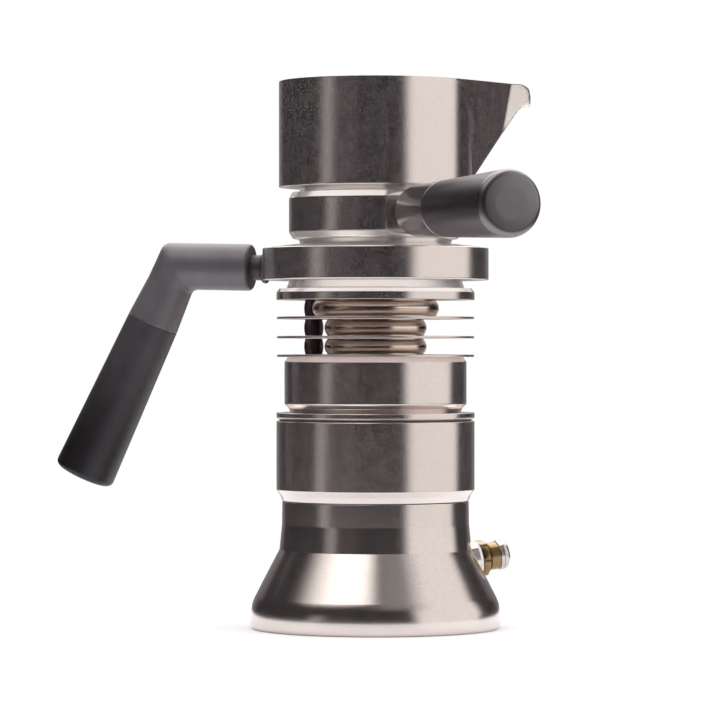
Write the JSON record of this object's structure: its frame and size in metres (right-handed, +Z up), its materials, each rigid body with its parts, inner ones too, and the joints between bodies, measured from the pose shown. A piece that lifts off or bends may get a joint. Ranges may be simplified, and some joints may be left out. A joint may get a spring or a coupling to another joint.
{
  "type": "stovetop espresso maker",
  "caption": "Stovetop espresso maker: flared boiler base, finned column, flanged group head, small jug with a V spout, a bent lower handle and a straight upper handle.",
  "frame": {"origin": "centre of the flat underside of the boiler base", "axes": "+Z up along the machine's axis, -Y towards the viewer of the picture, +X towards the spout's side, -X towards the lower handle"},
  "size_m": [0.1924, 0.1796, 0.2184],
  "materials": {
    "satin_steel": "satin, fine bead-blasted grain",
    "polished_steel": "bright turned",
    "fin_steel": "fine turned",
    "tube_steel": "drawn",
    "brass": "polished",
    "valve_steel": "polished",
    "white_washer": "smooth",
    "red_seal": "smooth",
    "black_rubber": "smooth",
    "dark_metal": "satin dark grey coating",
    "black_ferrule": "satin black",
    "grip_black": "fine matte",
    "spring_steel": "drawn wire"
  },
  "bodies": {
    "base": {"boiler_base": "satin_steel", "relief_gasket": "white_washer", "relief_body": "brass", "relief_cap": "valve_steel", "relief_spring": "spring_steel"},
    "relief_plug": {"relief_poppet": "brass"},
    "seal_ring": {"boiler_seal": "black_rubber"},
    "main_body": {"boiler_jacket": "satin_steel", "cap_seal": "red_seal", "boiler_cap": "satin_steel", "riser_tube": "tube_steel", "riser_strainer": "tube_steel", "vent_pipe": "tube_steel", "lower_fin": "fin_steel", "middle_fin": "fin_steel", "upper_fin": "fin_steel", "lower_hub_ring": "polished_steel", "middle_hub_ring": "polished_steel", "upper_hub_ring": "polished_steel", "lower_pipe_ring": "polished_steel", "middle_pipe_ring": "polished_steel", "upper_pipe_ring": "polished_steel", "top_plate": "satin_steel", "group_head": "satin_steel", "lower_stud": "tube_steel", "lower_ferrule": "black_ferrule", "handle_elbow": "dark_metal", "lower_grip": "grip_black"},
    "basket": {"filter_basket": "tube_steel"},
    "upper_filter": {"group_gasket": "black_rubber", "filter_plate": "tube_steel"},
    "upper_vessel": {"outlet_chamber": "satin_steel", "jug": "satin_steel", "outlet_column": "tube_steel", "column_cap": "tube_steel", "brew_spring": "spring_steel", "upper_stud": "tube_steel", "upper_ferrule": "black_ferrule", "upper_collar": "dark_metal", "upper_grip": "grip_black"},
    "brew_plug": {"brew_poppet": "brass"}
  },
  "joints": [
    {"name": "relief_valve", "type": "slide", "parent": "base", "child": "relief_plug", "axis": [0.9418, 0.306, 0.1392], "range_m": [0, 0.0012], "stiffness_N_per_m": 500, "springref_m": -0.002},
    {"name": "boiler_lift", "type": "slide", "parent": "base", "child": "seal_ring", "axis": [0, 0, 1], "range_m": [0, 0.06]},
    {"name": "boiler_unscrew", "type": "hinge", "parent": "seal_ring", "child": "main_body", "pos_m": [0, 0, 0.0555], "axis": [0, 0, 1], "range_deg": [0, 540]},
    {"name": "basket_lift", "type": "slide", "parent": "main_body", "child": "basket", "axis": [0, 0, 1], "range_m": [0, 0.025]},
    {"name": "upper_lift", "type": "slide", "parent": "main_body", "child": "upper_filter", "axis": [0, 0, 1], "range_m": [0, 0.05]},
    {"name": "upper_unscrew", "type": "hinge", "parent": "upper_filter", "child": "upper_vessel", "pos_m": [0, 0, 0.1515], "axis": [0, 0, 1], "range_deg": [0, 150]},
    {"name": "brew_valve", "type": "slide", "parent": "upper_vessel", "child": "brew_plug", "axis": [0, 0, 1], "range_m": [0, 0.0015], "stiffness_N_per_m": 200, "springref_m": -0.002, "deforming": ["brew_spring"]}
  ],
  "couplings": [
    {"joint": "basket_lift", "follows": "upper_lift", "ratio": 0.5}
  ]
}
